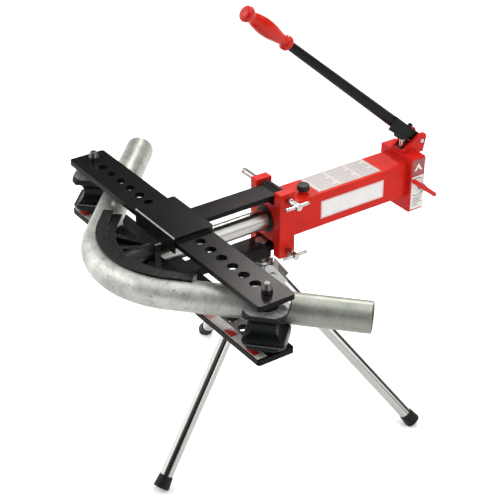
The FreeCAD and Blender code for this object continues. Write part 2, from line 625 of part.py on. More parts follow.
# ---- check and write --------------------------------------------------------------
doc.recompute()
for obj in doc.Objects:
    bad = [state for state in obj.State if state in ("Invalid", "Error")]
    if bad:
        raise RuntimeError("%s: %s" % (obj.Label, bad))
os.makedirs("parts", exist_ok=True)
for name, part in nodes.items():
    shape = part.Shape
    if shape.isNull() or not shape.isValid() or not shape.Solids:
        raise RuntimeError("bad shape: " + name)
    shape.exportStep("parts/%s.step" % name)
    print("%-22s %3d solids %12.0f mm3" % (name, len(shape.Solids), shape.Volume))
print(len(nodes), "nodes")
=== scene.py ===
import bpy
import bmesh
import json
import math
from mathutils import Matrix, Vector


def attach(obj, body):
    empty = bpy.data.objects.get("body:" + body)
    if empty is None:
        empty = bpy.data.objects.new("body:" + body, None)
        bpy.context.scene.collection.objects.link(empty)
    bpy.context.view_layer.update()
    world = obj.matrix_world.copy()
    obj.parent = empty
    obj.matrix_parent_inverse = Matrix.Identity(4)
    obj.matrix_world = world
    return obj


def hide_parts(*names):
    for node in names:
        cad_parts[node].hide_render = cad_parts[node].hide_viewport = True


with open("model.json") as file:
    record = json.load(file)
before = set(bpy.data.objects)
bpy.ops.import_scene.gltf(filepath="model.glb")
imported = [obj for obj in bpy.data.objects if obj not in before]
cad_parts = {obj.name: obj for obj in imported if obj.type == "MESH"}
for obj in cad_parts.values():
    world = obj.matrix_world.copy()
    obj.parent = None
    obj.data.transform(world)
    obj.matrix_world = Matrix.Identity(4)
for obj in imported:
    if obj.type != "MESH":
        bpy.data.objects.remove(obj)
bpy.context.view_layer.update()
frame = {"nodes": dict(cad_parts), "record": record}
nodes = frame["nodes"]

AXIS_Z = 0.4805          # height of the ram axis
LINE_Y = -0.222535      # line of the follower pins


def at(x, y, z):
    """Row-frame point from millimetres measured at the ram axis and pin line."""
    return Vector((x / 1000, y / 1000 + LINE_Y, z / 1000 + AXIS_Z))


# ---------------------------------------------------------------- materials
def material(name, colour, rough=0.4, metal=0.0):
    """Principled material, its node tree and its shader."""
    mat = bpy.data.materials.new(name)
    mat.use_nodes = True
    tree = mat.node_tree
    shader = tree.nodes["Principled BSDF"]
    shader.inputs["Base Color"].default_value = (*colour, 1)
    shader.inputs["Roughness"].default_value = rough
    shader.inputs["Metallic"].default_value = metal
    return mat, tree, shader


def noise(tree, scale, detail=4, rough=0.55, stretch=None, kind="ShaderNodeTexNoise"):
    """Object-space noise; stretch scales the coordinates per axis."""
    coords = tree.nodes.new("ShaderNodeTexCoord")
    out = coords.outputs["Object"]
    if stretch:
        mapping = tree.nodes.new("ShaderNodeMapping")
        mapping.inputs["Scale"].default_value = stretch
        tree.links.new(out, mapping.inputs["Vector"])
        out = mapping.outputs["Vector"]
    tex = tree.nodes.new(kind)
    tex.inputs["Scale"].default_value = scale
    if kind == "ShaderNodeTexNoise":
        tex.inputs["Detail"].default_value = detail
        tex.inputs["Roughness"].default_value = rough
    tree.links.new(out, tex.inputs["Vector"])
    return tex.outputs["Fac"] if kind == "ShaderNodeTexNoise" else tex.outputs["Distance"]


def ramp(tree, fac, stops):
    """Colour ramp through (place, colour) stops."""
    node = tree.nodes.new("ShaderNodeValToRGB")
    tree.links.new(fac, node.inputs["Fac"])
    elements = node.color_ramp.elements
    while len(elements) < len(stops):
        elements.new(0.5)
    for element, (place, colour) in zip(elements, stops):
        element.position = place
        element.color = (*colour, 1) if len(colour) == 3 else colour
    return node.outputs["Color"]


def grey(value):
    """Neutral colour."""
    return (value, value, value)


def span(tree, fac, low, high):
    """Map a 0-1 factor to low..high."""
    node = tree.nodes.new("ShaderNodeMapRange")
    tree.links.new(fac, node.inputs["Value"])
    node.inputs["To Min"].default_value = low
    node.inputs["To Max"].default_value = high
    return node.outputs["Result"]


def bump(tree, shader, height, strength, distance, edge=0.0011):
    """Fine relief over edges that the shading rounds to the given radius."""
    node = tree.nodes.new("ShaderNodeBump")
    node.inputs["Strength"].default_value = strength
    node.inputs["Distance"].default_value = distance
    tree.links.new(height, node.inputs["Height"])
    if edge:
        tree.links.new(round_normal(tree, edge), node.inputs["Normal"])
    tree.links.new(node.outputs["Normal"], shader.inputs["Normal"])


def round_normal(tree, radius):
    """Normal as if every arris were rounded."""
    node = tree.nodes.new("ShaderNodeBevel")
    node.samples = 4
    node.inputs["Radius"].default_value = radius
    return node.outputs["Normal"]


def blended(tree, fac, first, second):
    """First colour going over to the second; each value is a number, colour or socket."""
    node = tree.nodes.new("ShaderNodeMix")
    node.data_type = "RGBA"
    for socket, value in ((0, fac), (6, first), (7, second)):
        if isinstance(value, bpy.types.NodeSocket):
            tree.links.new(value, node.inputs[socket])
        else:
            node.inputs[socket].default_value = value if socket == 0 else (*value, 1)
    return node.outputs[2]


def edge_mask(tree, radius, gain):
    """White along arrises, where the rounded normal leaves the face's own normal: edge wear together with a
    painted highlight.
    """
    geometry = tree.nodes.new("ShaderNodeNewGeometry")
    compare = tree.nodes.new("ShaderNodeVectorMath")
    compare.operation = "DOT_PRODUCT"
    tree.links.new(round_normal(tree, radius), compare.inputs[0])
    tree.links.new(geometry.outputs["Normal"], compare.inputs[1])
    node = tree.nodes.new("ShaderNodeMapRange")
    tree.links.new(compare.outputs["Value"], node.inputs["Value"])
    node.inputs["From Min"].default_value = 1.0
    node.inputs["From Max"].default_value = 0.75
    node.inputs["To Max"].default_value = gain
    return node.outputs["Result"]


def paint(name, colour, dark, rough=0.3, coat=0.04, peel=0.06):
    """Enamel: slight colour drift, orange peel, soft clear coat."""
    mat, tree, shader = material(name, colour, rough, 0.0)
    shader.inputs["Specular IOR Level"].default_value = 0.08
    shader.inputs["Coat Weight"].default_value = coat
    shader.inputs["Coat Roughness"].default_value = 0.12
    drift = noise(tree, 14, 3)
    base = ramp(tree, drift, [(0.3, dark), (0.68, colour)])
    tree.links.new(base, shader.inputs["Base Color"])
    tree.links.new(span(tree, noise(tree, 60, 5), rough - 0.05, rough + 0.1), shader.inputs["Roughness"])
    bump(tree, shader, noise(tree, 900, 2), peel, 0.0004)
    return mat


def satin_black(name, colour, lift, rough, edge=(0.06, 0.057, 0.055), level=0.12):
    """Satin black enamel with handling marks that lighten it slightly."""
    mat, tree, shader = material(name, colour, rough)
    shader.inputs["Specular IOR Level"].default_value = level
    cloud = noise(tree, 9, 6, 0.65)
    fine = noise(tree, 220, 3, 0.7)
    base = ramp(tree, cloud, [(0.35, colour), (0.7, lift)])
    # arrises lightened towards the edge colour: part edge wear, part painted highlight
    tree.links.new(blended(tree, edge_mask(tree, 0.0012, 0.55), base, edge), shader.inputs["Base Color"])
    tree.links.new(span(tree, cloud, rough - 0.03, rough + 0.04), shader.inputs["Roughness"])
    bump(tree, shader, fine, 0.05, 0.0004)
    return mat


def facing_up(tree, low, high):
    """White where the surface lies flat and faces up."""
    coords = tree.nodes.new("ShaderNodeTexCoord")
    split = tree.nodes.new("ShaderNodeSeparateXYZ")
    tree.links.new(coords.outputs["Normal"], split.inputs["Vector"])
    node = tree.nodes.new("ShaderNodeMapRange")
    tree.links.new(split.outputs["Z"], node.inputs["Value"])
    node.inputs["From Min"].default_value = low
    node.inputs["From Max"].default_value = high
    return node.outputs["Result"]


def plate_black(name):
    """Satin black rolled plate whose sheared edges are duller than its faces."""
    mat = satin_black(name, (0.006, 0.0055, 0.0055), (0.010, 0.009, 0.0088), 0.25, level=0.09)
    tree = mat.node_tree
    shader = tree.nodes["Principled BSDF"]
    face = facing_up(tree, 0.4, 0.9)
    dull = span(tree, noise(tree, 150, 4), 0.03, 0.05)
    level = tree.nodes.new("ShaderNodeMath")
    level.operation = "MULTIPLY_ADD"
    tree.links.new(face, level.inputs[0])
    level.inputs[1].default_value = 0.055
    tree.links.new(dull, level.inputs[2])
    tree.links.new(level.outputs["Value"], shader.inputs["Specular IOR Level"])
    return mat


def casting(name, top_sheen=(0.02, 0.021, 0.02), top_sheen_metal=0.0):
    """Lacquered sand casting: pebbly skin, arrises lightened by wear and a painted highlight, and a painted
    sheen on its top faces.
    """
    mat, tree, shader = material(name, (0.016, 0.018, 0.017), 0.38)
    shader.inputs["Specular IOR Level"].default_value = 0.1
    shader.inputs["Coat Weight"].default_value = 0.03
    shader.inputs["Coat Roughness"].default_value = 0.12
    cloud = noise(tree, 24, 5, 0.6)
    base = ramp(tree, cloud, [(0.35, (0.002, 0.0035, 0.003)), (0.72, (0.006, 0.0085, 0.008))])
    # arrises lightened towards pale grey: part edge wear, part painted highlight
    lit_worn_edges = blended(tree, edge_mask(tree, 0.0018, 0.5), base, (0.12, 0.12, 0.115))
    # painted sheen: faces that look straight up are lightened towards a grey sheen colour, mottled by noise
    flat = facing_up(tree, 0.93, 0.99)
    sheen_low = tuple(c * 0.45 for c in top_sheen)
    sheen_mottle = ramp(tree, noise(tree, 75, 6, 0.65), [(0.34, sheen_low), (0.62, top_sheen)])
    tree.links.new(blended(tree, flat, lit_worn_edges, sheen_mottle), shader.inputs["Base Color"])
    if top_sheen_metal:
        tree.links.new(span(tree, flat, 0.0, top_sheen_metal), shader.inputs["Metallic"])
    tree.links.new(span(tree, cloud, 0.20, 0.32), shader.inputs["Roughness"])
    bump(tree, shader, noise(tree, 420, 4, 0.6), 0.3, 0.0008, 0.0018)
    return mat


def bright(name, colour, rough=0.12, stretch=(1, 1, 1), marks=0.06, scale=120):
    """Plated metal with fine directional polishing marks."""
    mat, tree, shader = material(name, colour, rough, 1.0)
    lines = noise(tree, scale, 4, 0.6, stretch)
    smudge = noise(tree, 11, 5, 0.6)
    base = ramp(tree, smudge, [(0.3, tuple(c * 0.86 for c in colour)), (0.7, colour)])
    tree.links.new(base, shader.inputs["Base Color"])
    tree.links.new(span(tree, lines, rough - marks / 2, rough + marks), shader.inputs["Roughness"])
    bump(tree, shader, lines, 0.04, 0.0002)
    return mat


def galvanised():
    """Zinc-dipped tube: cloudy spangle and dark scuffs, with painted shade on its underside and towards its
    ends.
    """
    mat, tree, shader = material("tube_galvanised", (0.3, 0.31, 0.29), 0.42, 0.6)
    cloud = noise(tree, 16, 8, 0.62)
    patch = noise(tree, 42, 6, 0.7)
    cells = noise(tree, 150, kind="ShaderNodeTexVoronoi")
    base = ramp(tree, cloud, [
        (0.32, (0.25, 0.265, 0.235)), (0.5, (0.43, 0.445, 0.40)), (0.68, (0.62, 0.63, 0.57))])
    spots = ramp(tree, patch, [(0.38, (0.12, 0.13, 0.115)), (0.62, (0.46, 0.47, 0.43))])
    mottled = blended(tree, 0.35, base, spots)
    spangle = blended(tree, 0.12, mottled, ramp(tree, cells, [(0.0, grey(0.25)), (0.6, grey(0.8))]))
    scuff = ramp(tree, noise(tree, 95, 7, 0.75), [(0.57, grey(0.0)), (0.66, grey(0.8))])
    final = blended(tree, scuff, spangle, (0.08, 0.085, 0.075))
    # painted shade: the side facing down is darkened, unevenly through the cloud noise
    below = facing_up(tree, 0.25, -0.75)
    underside_shade = tree.nodes.new("ShaderNodeMath")
    underside_shade.operation = "MULTIPLY"
    tree.links.new(below, underside_shade.inputs[0])
    tree.links.new(span(tree, cloud, 0.1, 0.4), underside_shade.inputs[1])
    shaded_below = blended(tree, underside_shade.outputs["Value"], final, (0.10, 0.105, 0.095))
    # painted shade along the tube: darker towards both ends, most towards +X, none in the middle
    coords = tree.nodes.new("ShaderNodeTexCoord")
    along = tree.nodes.new("ShaderNodeSeparateXYZ")
    tree.links.new(coords.outputs["Object"], along.inputs["Vector"])
    place = tree.nodes.new("ShaderNodeMapRange")
    tree.links.new(along.outputs["X"], place.inputs["Value"])
    place.inputs["From Min"].default_value = -0.4
    place.inputs["From Max"].default_value = 0.4
    end_shade = ramp(tree, place.outputs["Result"], [
        (0.05, grey(0.24)), (0.38, grey(0.12)), (0.56, grey(0.0)), (0.74, grey(0.0)), (0.87, grey(0.58)),
        (1.0, grey(0.62))])
    end_shaded = blended(tree, end_shade, shaded_below, (0.15, 0.165, 0.13))
    tree.links.new(end_shaded, shader.inputs["Base Color"])
    tree.links.new(span(tree, patch, 0.3, 0.55), shader.inputs["Roughness"])
    bump(tree, shader, patch, 0.22, 0.0009, 0)
    return mat


def raised_plate():
    """Satin black plate with a painted highlight along its rounded front arris."""
    mat = satin_black("enamel_black_raised", (0.005, 0.0048, 0.0048), (0.009, 0.0085, 0.008), 0.25)
    tree = mat.node_tree
    shader = tree.nodes["Principled BSDF"]
    base = shader.inputs["Base Color"].links[0].from_socket
    # painted highlight: faces turned front and up, along (0, -0.78, 0.62), go pale grey, broken up by noise
    coords = tree.nodes.new("ShaderNodeTexCoord")
    dot = tree.nodes.new("ShaderNodeVectorMath")
    dot.operation = "DOT_PRODUCT"
    tree.links.new(coords.outputs["Normal"], dot.inputs[0])
    dot.inputs[1].default_value = (0, -0.78, 0.62)
    strip = tree.nodes.new("ShaderNodeMapRange")
    tree.links.new(dot.outputs["Value"], strip.inputs["Value"])
    strip.inputs["From Min"].default_value = 0.88
    strip.inputs["From Max"].default_value = 0.97
    ragged = blended(tree, span(tree, noise(tree, 60, 4), 0.0, 0.45), (1, 1, 1), (0, 0, 0))
    front_highlight = tree.nodes.new("ShaderNodeMath")
    front_highlight.operation = "MULTIPLY"
    tree.links.new(strip.outputs["Result"], front_highlight.inputs[0])
    tree.links.new(ragged, front_highlight.inputs[1])
    final = blended(tree, front_highlight.outputs["Value"], base, (0.40, 0.39, 0.38))
    tree.links.new(final, shader.inputs["Base Color"])
    return mat


def rubber(name, colour=(0.005, 0.005, 0.005)):
    """Matt black rubber with a fine grain."""
    mat, tree, shader = material(name, colour, 0.5)
    shader.inputs["Specular IOR Level"].default_value = 0.16
    grain = noise(tree, 500, 4)
    base = ramp(tree, noise(tree, 50, 4), [(0.3, colour), (0.75, tuple(c * 2.2 for c in colour))])
    tree.links.new(base, shader.inputs["Base Color"])
    bump(tree, shader, grain, 0.2, 0.0004)
    return mat


def plastic(name, colour, dark, rough=0.16):
    """Glossy moulded plastic with faint flow marks."""
    mat, tree, shader = material(name, colour, rough)
    shader.inputs["Specular IOR Level"].default_value = 0.14
    shader.inputs["Coat Weight"].default_value = 0.12
    shader.inputs["Coat Roughness"].default_value = 0.05
    base = ramp(tree, noise(tree, 30, 3), [(0.3, dark), (0.7, colour)])
    tree.links.new(base, shader.inputs["Base Color"])
    bump(tree, shader, noise(tree, 240, 2), 0.05, 0.0005)
    return mat


def printed(name, colour, second, rough=0.32):
    """Laminated label stock, slightly uneven."""
    mat, tree, shader = material(name, colour, rough)
    shader.inputs["Coat Weight"].default_value = 0.35
    base = ramp(tree, noise(tree, 40, 5), [(0.3, second), (0.7, colour)])
    tree.links.new(base, shader.inputs["Base Color"])
    bump(tree, shader, noise(tree, 120, 3), 0.05, 0.0003)
    return mat


RED = (0.54, 0.016, 0.007)
RED_DARK = (0.45, 0.010, 0.005)
MATERIALS = {
    "red_paint": paint("enamel_red", RED, RED_DARK),
    "red_cast": paint("enamel_red_casting", (0.54, 0.014, 0.010), (0.44, 0.009, 0.008), 0.32, 0.04, 0.14),
    "black_plate": plate_black("enamel_black_plate"),
    "raised_plate": raised_plate(),
    "black_lever": satin_black("enamel_black_lever", (0.002, 0.0024, 0.0022), (0.005, 0.006, 0.0055), 0.34,
                               level=0.1),
    "black_casting": casting("lacquered_casting"),
    # the followers' top faces get a light grey, slightly metallic painted sheen
    "follower_casting": casting("follower_casting", (0.36, 0.36, 0.35), 0.15),
    "chrome_ram": bright("hard_chrome", (0.42, 0.415, 0.39), 0.27, (3, 0.4, 3), 0.04, 30),
    "chrome_leg": bright("bright_leg_tube", (0.43, 0.43, 0.41), 0.12, (6, 6, 1), 0.04, 60),
    "bright_pin": bright("bright_pin_steel", (0.46, 0.45, 0.43), 0.18, (1, 1, 1), 0.1, 260),
    "dark_pin": bright("turned_pin_steel", (0.13, 0.125, 0.12), 0.3, (1, 1, 12), 0.1, 200),
    "zinc_plate": bright("zinc_plated_steel", (0.42, 0.43, 0.42), 0.3, (1, 1, 1), 0.12, 80),
    "galvanised": galvanised(),
    "inner_steel": bright("machined_steel", (0.42, 0.42, 0.43), 0.32, (1, 10, 1), 0.1, 120),
    "black_steel": satin_black("blackened_steel", (0.008, 0.008, 0.009), (0.018, 0.018, 0.019), 0.36),
    "red_grip": plastic("grip_red", (0.50, 0.014, 0.006), (0.40, 0.009, 0.005)),
    "black_plastic": plastic("cap_black", (0.012, 0.012, 0.012), (0.02, 0.02, 0.02), 0.42),
    "rubber_foot": rubber("foot_rubber"),
    "label_white": printed("label_stock_white", (0.66, 0.64, 0.63), (0.60, 0.58, 0.575)),
    "label_dense": printed("label_stock_dense", (0.50, 0.47, 0.455), (0.45, 0.425, 0.41)),
    "label_scale": printed("label_stock_grey", (0.56, 0.53, 0.50), (0.46, 0.43, 0.41)),
    "label_badge": printed("label_stock_red", (0.27, 0.022, 0.018), (0.20, 0.016, 0.014)),
}
INK_GREY = printed("ink_grey", (0.20, 0.19, 0.19), (0.27, 0.26, 0.26))
INK_BLACK = printed("ink_black", (0.030, 0.028, 0.030), (0.05, 0.05, 0.05))
INK_RED = printed("ink_red", (0.52, 0.016, 0.020), (0.42, 0.012, 0.016))
INK_WHITE = printed("ink_white", (0.85, 0.80, 0.76), (0.76, 0.72, 0.70))

slot_of = {part["node"]: part["material_slot"] for part in frame["record"]["subparts"]}
for name, obj in nodes.items():
    obj.data.materials.clear()
    key = {"follower_right": "follower_casting", "follower_left": "follower_casting",
           "upper_head_plate": "raised_plate", "label_plate_top": "label_dense"}.get(name, slot_of[name])
    obj.data.materials.append(MATERIALS[key])


# ---------------------------------------------------------------- piece tools
def add_mesh(name, bm, mat, body, smooth=True):
    """Object from a bmesh, riding on a body."""
    mesh = bpy.data.meshes.new(name)
    bmesh.ops.recalc_face_normals(bm, faces=bm.faces)
    bm.to_mesh(mesh)
    bm.free()
    mesh.materials.append(mat)
    for polygon in mesh.polygons:
        polygon.use_smooth = smooth
    obj = bpy.data.objects.new(name, mesh)
    bpy.context.scene.collection.objects.link(obj)
    if smooth:
        mesh.set_sharp_from_angle(angle=math.radians(38))
    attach(obj, body)
    return obj


def frame_at(origin, way, side=Vector((1, 0, 0))):
    """Matrix whose Z runs along way, at origin."""
    z = way.normalized()
    x = (side - z * side.dot(z)).normalized()
    y = z.cross(x)
    return Matrix((
        (x.x, y.x, z.x, origin.x),
        (x.y, y.y, z.y, origin.y),
        (x.z, y.z, z.z, origin.z),
        (0, 0, 0, 1),
    ))


def smooth_profile(points, steps=5):
    """Catmull-Rom curve through (radius, height) points."""
    out = []
    for i in range(len(points) - 1):
        p = [Vector(points[max(0, min(len(points) - 1, i + k))]) for k in (-1, 0, 1, 2)]
        for step in range(steps):
            t = step / steps
            q = 0.5 * ((2 * p[1]) + (p[2] - p[0]) * t + (2 * p[0] - 5 * p[1] + 4 * p[2] - p[3]) * t * t
                       + (3 * p[1] - p[0] - 3 * p[2] + p[3]) * t ** 3)
            out.append((max(q.x, 0), q.y))
    out.append(points[-1])
    return out


def lathe(points, matrix, segments=64, wobble=None):
    """Closed surface of revolution about Z; ends at radius 0 close themselves."""
    bm = bmesh.new()
    rings = []
    for radius, height in points:
        if radius < 1e-6:
            rings.append([bm.verts.new(matrix @ Vector((0, 0, height)))])
            continue
        ring = []
        for k in range(segments):
            angle = 2 * math.pi * k / segments
            r = radius * (wobble(angle, height) if wobble else 1)
            ring.append(bm.verts.new(matrix @ Vector((r * math.cos(angle), r * math.sin(angle), height))))
        rings.append(ring)
    for a, b in zip(rings, rings[1:]):
        for k in range(segments):
            n = (k + 1) % segments
            if len(a) == 1 and len(b) > 1:
                bm.faces.new((a[0], b[k], b[n]))
            elif len(b) == 1 and len(a) > 1:
                bm.faces.new((a[k], a[n], b[0]))
            elif len(a) > 1 and len(b) > 1:
                bm.faces.new((a[k], a[n], b[n], b[k]))
    return bm


def mm(points):
    """Points in metres from millimetres."""
    return [(r / 1000, z / 1000) for r, z in points]


def plaque(name, corners, thick, normal, mat, body):
    """Thin printed patch with its corners given in the row frame."""
    bm = bmesh.new()
    low = [bm.verts.new(c) for c in corners]
    high = [bm.verts.new(c + normal * thick) for c in corners]
    bm.faces.new(low)
    bm.faces.new(high[::-1])
    for i in range(len(corners)):
        j = (i + 1) % len(corners)
        bm.faces.new((low[i], low[j], high[j], high[i]))
    return add_mesh(name, bm, mat, body, smooth=False)


# ---------------------------------------------------------------- sharp CAD edges
for name in nodes:
    nodes[name].data.set_sharp_from_angle(angle=math.radians(32))

# ---------------------------------------------------------------- lever grip, feet, pins
LEVER_TILT = math.radians(40.8)
LEVER_WAY = Vector((0, -math.cos(LEVER_TILT), math.sin(LEVER_TILT)))
GRIP_STRETCH = 0.92
lever_root = at(0, 566.7, 104.65)


def on_lever(s):
    """Frame on the lever's line, s millimetres from its root."""
    return frame_at(lever_root + LEVER_WAY * s / 1000, LEVER_WAY)


grip_line = smooth_profile([
    (9.1, 0), (13.2, 0.2), (15.0, 2.0), (15.4, 6.5), (14.9, 11), (12.0, 15.5), (10.9, 20), (11.6, 28),
    (13.8, 42), (16.0, 57), (17.1, 73), (16.8, 88), (15.0, 103), (12.9, 115), (12.1, 122), (12.6, 126.5),
    (15.0, 131), (16.3, 135.5), (15.9, 140), (12.6, 144.2), (7, 146.2), (0, 146.8)])
grip_line = [(r, s * GRIP_STRETCH) for r, s in grip_line]
grip = add_mesh("grip_shell", lathe([(0, 0.004)] + mm(grip_line), on_lever(398), 72),
                MATERIALS["red_grip"], "lever")
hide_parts("lever_grip")


def bar_piece(name, node, centre, way, half, radius, mat, body, side=Vector((1, 0, 0)),
              grooves=()):
    """Round bar with softened ends and optional grooves, in place of a plain CAD bar."""
    line = [(0, -half), (radius - 1.4, -half), (radius - 0.4, -half + 0.5), (radius, -half + 1.6)]
    for groove in grooves:
        line += [(radius, groove - 1.6), (radius - 0.9, groove - 0.8), (radius - 0.9, groove + 0.8),
                 (radius, groove + 1.6)]
    line += [(radius, half - 1.6), (radius - 0.4, half - 0.5), (radius - 1.4, half), (0, half)]
    solid = lathe(mm(line), frame_at(centre, way, side), 40)
    piece = add_mesh(name, solid, MATERIALS[mat], body)
    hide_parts(node)


ACROSS, ALONG = Vector((1, 0, 0)), Vector((0, 1, 0))
for level, body, reach, length, bar in ((57.5, "upper", 81, 193, 3.5), (-57.5, "lower", 76, 188, 3.8)):
    bar_piece(body + "_tommy_rod", body + "_tommy_bar", at(reach, 236, level), ALONG, 28.5, bar, "bright_pin",
              body + "_pin", grooves=(-24, 24))
    bar_piece(body + "_pin_rod", body + "_hinge_pin", at(-104 + length / 2, 236, level), ACROSS, length / 2,
              7, "bright_pin", body + "_pin", ALONG,
              grooves=(-length / 2 + 7, length / 2 - 14))
valve_way = Vector((0, 0.774, -0.633))
bar_piece("release_handle", "release_valve_bar", at(62, 586.5, -17), valve_way, 41, 5, "red_cast",
          "release_valve")

HUB_Y, RING, FOOT_RING, PIVOT_Z = 208, 26, 336.6, -122
drop = 480.5 + PIVOT_Z
lean = math.atan2(FOOT_RING - RING, drop)
foot_end = (drop - 5) / math.cos(lean)
foot_line = smooth_profile([(0, 0), (9, 0), (15.2, 0.1), (16.5, 1.2), (16.6, 4)], 3)[:-1] + [
    (16.4, 5.5), (15.8, 6.1), (16.1, 6.9), (16.1, 9.0), (15.5, 9.7), (15.7, 10.4), (15.3, 17), (14.9, 22.5),
    (14.7, 25.2), (14.3, 26.6), (13.15, 27), (13.15, 22)]
for letter, turn in zip("abc", (270, 30, 150)):
    azimuth = math.radians(turn + 17.6)
    out = Vector((math.cos(azimuth), math.sin(azimuth), 0))
    way = out * math.sin(lean) + Vector((0, 0, -math.cos(lean)))
    pivot = at(RING * out.x, HUB_Y + RING * out.y, PIVOT_Z)
    sole = frame_at(pivot + way * foot_end / 1000, -way, out)
    bm = lathe(mm(foot_line), sole, 56)
    for vert in bm.verts:
        vert.co.z = max(vert.co.z, 0.0)
    foot = add_mesh("foot_cup_" + letter, bm, MATERIALS["rubber_foot"], "leg_" + letter)
    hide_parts("leg_foot_" + letter)

# ---------------------------------------------------------------- printed labels
UP = Vector((0, 0, 1))


def on_top(name, x0, x1, y0, y1, z, mat, body="machine", thick=0.00012):
    """Printed patch on a horizontal face."""
    corners = [at(x0, y0, z), at(x1, y0, z), at(x1, y1, z), at(x0, y1, z)]
    return plaque(name, corners, thick, UP, mat, body)


def on_side(name, x, y0, y1, z0, z1, mat, body="machine", thick=0.00012):
    """Printed patch on a face that looks along X."""
    corners = [at(x, y0, z0), at(x, y1, z0), at(x, y1, z1), at(x, y0, z1)]
    return plaque(name, corners, thick, ACROSS, mat, body)


label_z = 39.02
rows = 9
for column, (y0, y1) in enumerate(((336, 384), (389, 437), (442, 484))):
    for row in range(rows):
        x0 = -30 + row * 6.4
        short = 10 if (row + column) % 4 == 3 else 0
        on_top("text_line_%d_%d" % (column, row), x0, x0 + 2.6, y0, y1 - short, label_z, INK_GREY)
for name, box_of in (("a", (-33.8, 28.8, 329.4, 330.3)), ("b", (-33.8, 28.8, 488.9, 489.8)),
                     ("c", (-33.8, -32.9, 329.4, 489.8)), ("d", (27.9, 28.8, 329.4, 489.8))):
    on_top("label_edge_" + name, *box_of, label_z, INK_RED)
for name, box_of in (("a", (330.4, 491.6, -18.7, -17.9)), ("b", (330.4, 491.6, 17.9, 18.7)),
                     ("c", (330.4, 331.2, -18.7, 18.7)), ("d", (490.8, 491.6, -18.7, 18.7))):
    on_side("side_edge_" + name, 38.02, *box_of, INK_RED)

face = 50.28


def arc_arrow(name, cy, cz, radius, start, stop, mat):
    """Curved arrow printed on the pump block's side label."""
    steps, thick = 14, 0.00012

    def spot(r, degrees):
        """Point of the label at a radius and angle about the arrow's centre."""
        angle = math.radians(degrees)
        return at(face, cy + r * math.cos(angle), cz + r * math.sin(angle))

    places = [start + (stop - start) * k / steps for k in range(steps + 1)]
    inner, outer = ([spot(radius + side, place) for place in places] for side in (-0.8, 0.8))
    tip = stop + (14 if stop > start else -14)
    head = [spot(radius - 2.6, stop), spot(radius + 2.6, stop), spot(radius, tip)]
    bm = bmesh.new()
    # built face by face: bmesh's own extrude stores its points in a different order on each run
    for outline in (inner + outer[::-1], head):
        low = [bm.verts.new(point) for point in outline]
        high = [bm.verts.new(point + ACROSS * thick) for point in outline]
        last = len(outline) - 1
        for i in range(last + 1):
            bm.faces.new((low[i - 1], low[i], high[i], high[i - 1]))
        for row in (low, high):
            if outline is head:
                bm.faces.new(row)
            else:
                for k in range(steps):
                    bm.faces.new((row[k], row[k + 1], row[last - 1 - k], row[last - k]))
    add_mesh(name, bm, mat, "machine", smooth=False)


arc_arrow("arrow_close", 577, -14, 19, 48, 128, INK_BLACK)
arc_arrow("arrow_open", 577, -18, 19, -128, -48, INK_BLACK)
for index, (z, y0, y1) in enumerate(((-44, 565, 589), (-49, 565, 586), (-54, 565, 589), (-60, 565, 580))):
    on_side("note_line_%d" % index, face, y0, y1, z, z + 2.4, INK_GREY)
chevron = [(566, 23), (576.5, 40), (587, 23), (582, 23), (576.5, 32), (571, 23)]
plaque("badge_chevron_left", [at(face, y, z) for y, z in (chevron[0], chevron[1], chevron[4], chevron[5])],
       0.00012, ACROSS, INK_WHITE, "machine")
plaque("badge_chevron_right", [at(face, y, z) for y, z in (chevron[1], chevron[2], chevron[3], chevron[4])],
       0.00012, ACROSS, INK_WHITE, "machine")

strip_z = -51.48
for sign in (-1, 1):
    side = "r" if sign > 0 else "l"
    for step in range(1, 7):
        x = sign * (92 + 36 * step)
        low, high = sorted((x - 13, x + 13))
        if step % 2 == 0:
            on_top("size_patch_%s%d" % (side, step), low, high, -36.5, -22, strip_z, INK_RED)
        on_top("size_tick_%s%d" % (side, step), x - 0.6, x + 0.6, -21, -17.2, strip_z, INK_BLACK)


# ---------------------------------------------------------------- weld beads
def bead(name, path, radius, mat, body):
    """Rippled weld bead along a line of points."""
    bm = bmesh.new()
    rings = []
    samples = []
    for a, b in zip(path, path[1:]):
        count = max(2, int((b - a).length / 0.0007))
        samples += [a.lerp(b, k / count) for k in range(count)]
    samples.append(path[-1])
    for index, point in enumerate(samples):
        ahead = samples[min(index + 1, len(samples) - 1)] - samples[max(index - 1, 0)]
        basis = frame_at(point, ahead, UP if abs(ahead.normalized().z) < 0.9 else ACROSS)
        swell = radius * (1 + 0.13 * math.sin(index * 1.15) + 0.06 * math.sin(index * 0.37))
        if index in (0, len(samples) - 1):
            swell *= 0.35
        turns = [k * math.pi / 5 for k in range(10)]
        rings.append([bm.verts.new(basis @ Vector((swell * math.cos(a), swell * math.sin(a), 0)))
                      for a in turns])
    for a, b in zip(rings, rings[1:]):
        for k in range(10):
            bm.faces.new((a[k], a[(k + 1) % 10], b[(k + 1) % 10], b[k]))
    bm.faces.new(rings[0][::-1])
    bm.faces.new(rings[-1])
    add_mesh(name, bm, mat, body)


